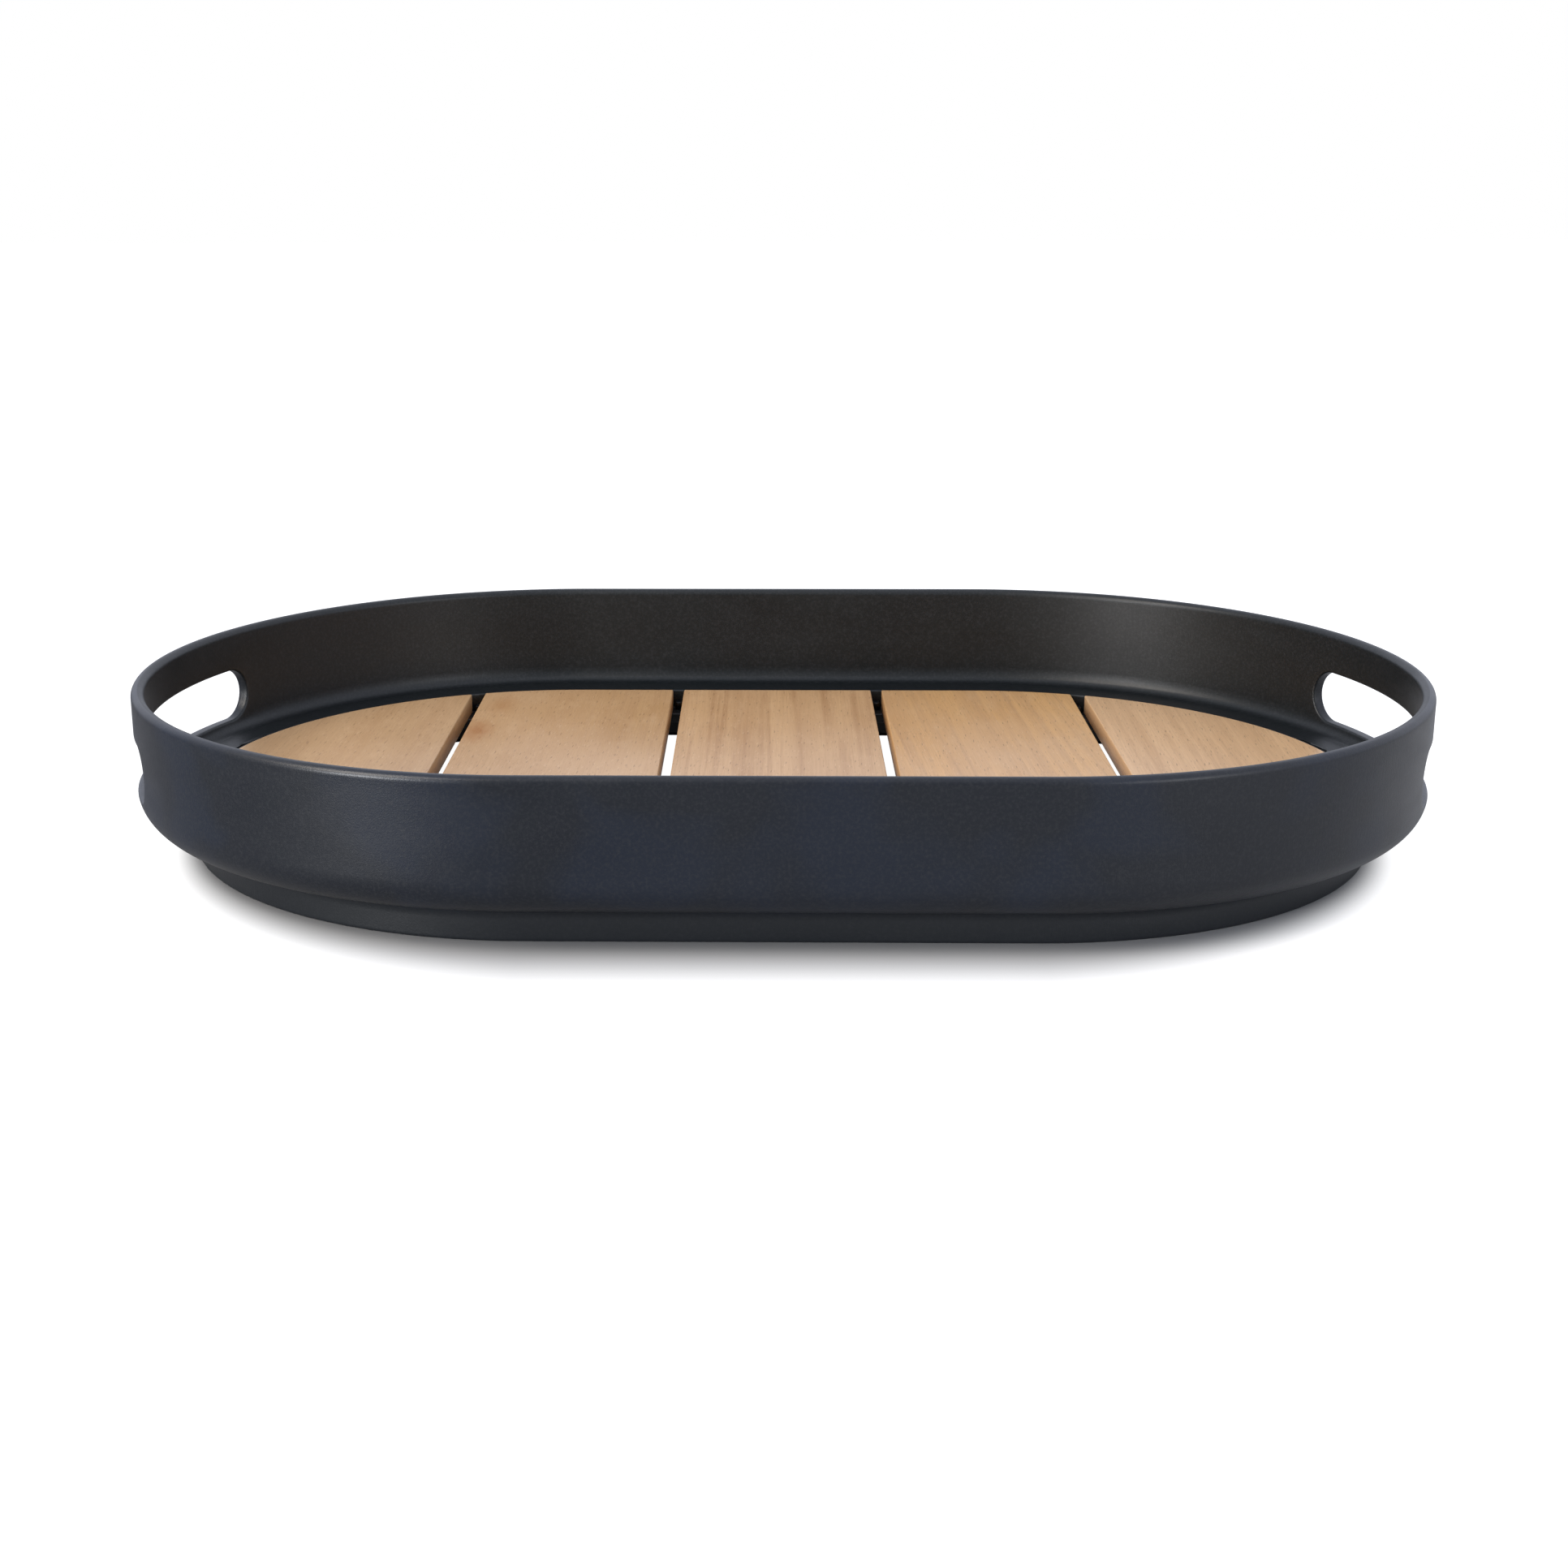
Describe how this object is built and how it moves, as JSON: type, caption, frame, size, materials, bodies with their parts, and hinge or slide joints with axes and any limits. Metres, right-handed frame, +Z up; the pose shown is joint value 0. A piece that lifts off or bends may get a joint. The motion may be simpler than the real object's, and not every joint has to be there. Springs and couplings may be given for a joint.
{
  "type": "serving tray",
  "caption": "Round-ended serving tray: a dark moulded body with an upright wall, a hand slot at each end and a foot ring, with a floor of spaced wooden slats.",
  "frame": {"origin": "middle of the tray's outline, on the surface it stands on", "axes": "+X along the length towards the right hand slot, +Y across the tray away from the picture's viewer, +Z up"},
  "size_m": [0.48, 0.313, 0.061],
  "materials": {
    "body": "dark blue-grey moulding, satin to matt",
    "slats": "light steamed beech, thinly oiled",
    "screws": "zinc-plated steel"
  },
  "bodies": {
    "root": {"tray_body": "body", "left_end_slat": "slats", "left_slat": "slats", "centre_slat": "slats", "right_slat": "slats", "right_end_slat": "slats", "left_end_screws": "screws", "left_slat_screws": "screws", "centre_slat_screws": "screws", "right_slat_screws": "screws", "right_end_screws": "screws"}
  },
  "joints": []
}
